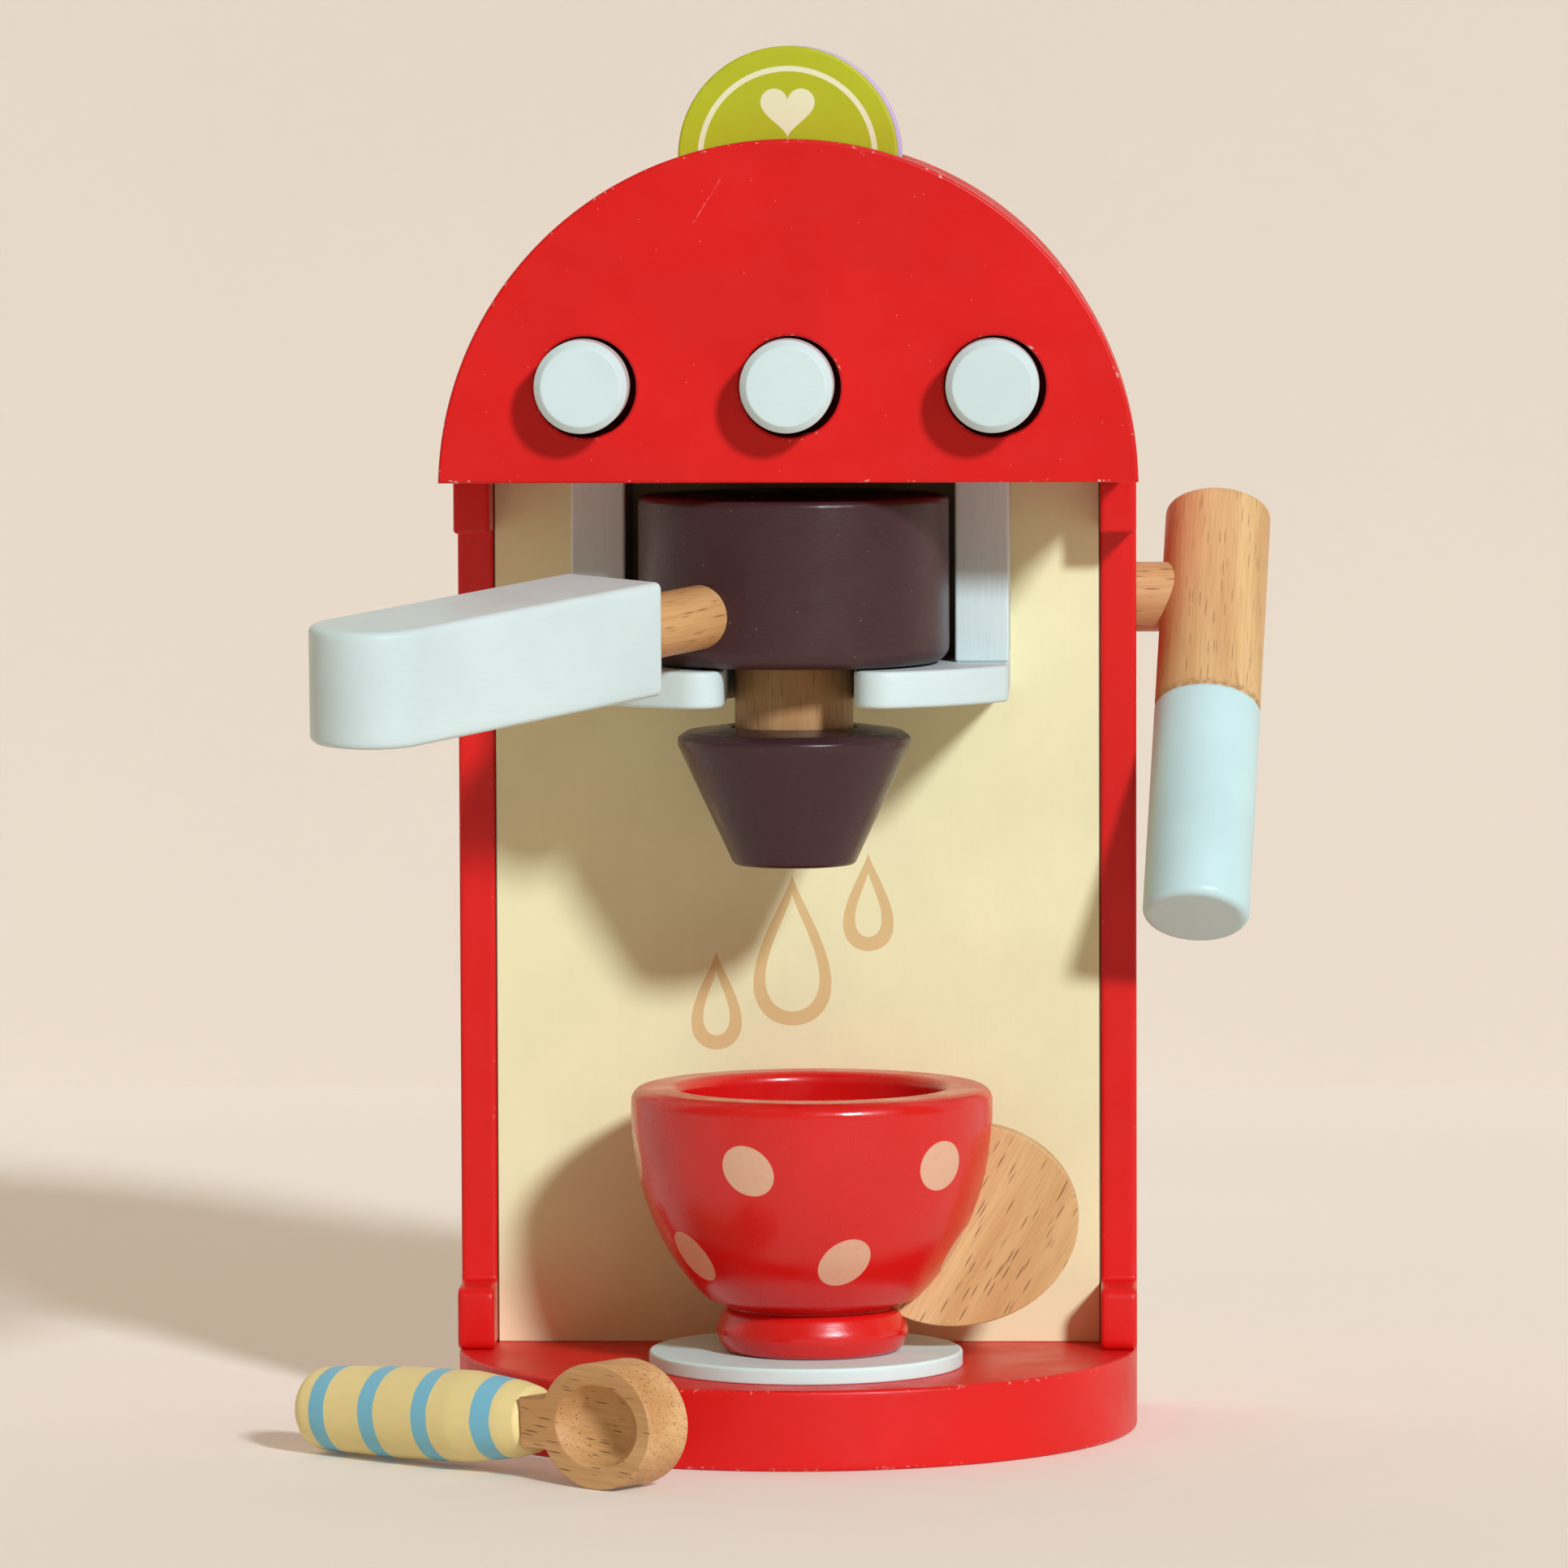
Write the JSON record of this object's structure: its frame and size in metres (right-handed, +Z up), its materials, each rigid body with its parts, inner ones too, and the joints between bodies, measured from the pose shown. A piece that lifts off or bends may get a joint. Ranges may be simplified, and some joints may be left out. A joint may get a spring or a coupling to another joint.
{
  "type": "toy coffee maker",
  "caption": "Dome-headed wooden toy coffee maker with push buttons, a pull-out filter, a turning lever, discs in a slot, a cup on a coaster and a spoon.",
  "frame": {"origin": "on the underside of the base, at the centre of its round front edge", "axes": "+Z up; the front, with the buttons and the filter, faces -Y; the lever is on the +X side"},
  "size_m": [0.1707, 0.1698, 0.244],
  "materials": {
    "red_paint": "satin paint on wood",
    "blue_paint": "satin paint on wood",
    "cream_paint": "satin paint on wood",
    "brown_paint": "satin paint on wood",
    "lime_paint": "satin paint on wood",
    "lilac_paint": "satin paint on wood",
    "yellow_paint": "satin paint with blue stripes on wood",
    "beech": "bare beech with a thin clear coat",
    "spring_steel": "drawn wire"
  },
  "bodies": {
    "stand": {"base_plate": "red_paint", "coaster": "blue_paint", "left_side_panel": "red_paint", "right_side_panel": "red_paint", "back_panel": "cream_paint", "front_facade": "red_paint", "slot_spacer": "red_paint", "inner_dome": "red_paint", "roof_shell": "red_paint", "rear_dome_panel": "red_paint", "head_floor": "red_paint", "left_holder_arm": "blue_paint", "right_holder_arm": "blue_paint", "fork_plate": "blue_paint", "left_button_spring": "spring_steel", "middle_button_spring": "spring_steel", "right_button_spring": "spring_steel"},
    "left_button": {"left_button": "blue_paint", "left_button_retainer": "beech"},
    "middle_button": {"middle_button": "blue_paint", "middle_button_retainer": "beech"},
    "right_button": {"right_button": "blue_paint", "right_button_retainer": "beech"},
    "filter_spindle": {"filter_neck": "beech", "filter_nozzle": "brown_paint"},
    "filter_holder": {"filter_cylinder": "brown_paint", "filter_dowel": "beech", "filter_handle": "blue_paint"},
    "lever": {"lever_axle": "beech", "lever_collar": "beech", "lever_grip": "beech"},
    "lime_disc": {"disc_lime": "lime_paint"},
    "lilac_disc": {"disc_lilac": "lilac_paint"},
    "cup": {"cup_bowl": "red_paint", "cup_handle": "beech"},
    "spoon": {"spoon_handle": "yellow_paint", "spoon_bowl": "beech"}
  },
  "joints": [
    {"name": "left_button_press", "type": "slide", "parent": "stand", "child": "left_button", "axis": [0, 1, 0], "range_m": [0, 0.005], "stiffness_N_per_m": 250, "springref_m": -0.004, "deforming": ["left_button_spring"]},
    {"name": "middle_button_press", "type": "slide", "parent": "stand", "child": "middle_button", "axis": [0, 1, 0], "range_m": [0, 0.005], "stiffness_N_per_m": 250, "springref_m": -0.004, "deforming": ["middle_button_spring"]},
    {"name": "right_button_press", "type": "slide", "parent": "stand", "child": "right_button", "axis": [0, 1, 0], "range_m": [0, 0.005], "stiffness_N_per_m": 250, "springref_m": -0.004, "deforming": ["right_button_spring"]},
    {"name": "filter_slide", "type": "slide", "parent": "stand", "child": "filter_spindle", "axis": [0, -1, 0], "range_m": [0, 0.07]},
    {"name": "filter_swivel", "type": "hinge", "parent": "filter_spindle", "child": "filter_holder", "pos_m": [0.0005, -0.0277, 0.1373], "axis": [0, 0, 1], "range_deg": [-48, 105]},
    {"name": "lever_turn", "type": "hinge", "parent": "stand", "child": "lever", "pos_m": [0.0738, 0.019, 0.1458], "axis": [1, 0, 0], "continuous": true},
    {"name": "lime_disc_lift", "type": "slide", "parent": "stand", "child": "lime_disc", "axis": [0, 0, 1], "range_m": [0, 0.03]},
    {"name": "lilac_disc_lift", "type": "slide", "parent": "stand", "child": "lilac_disc", "axis": [0, 0, 1], "range_m": [0, 0.03]},
    {"name": "cup_lift", "type": "slide", "parent": "stand", "child": "cup", "axis": [0, 0, 1], "range_m": [0, 0.03]},
    {"name": "spoon_lift", "type": "slide", "parent": "stand", "child": "spoon", "axis": [0, 0, 1], "range_m": [0, 0.08]}
  ]
}
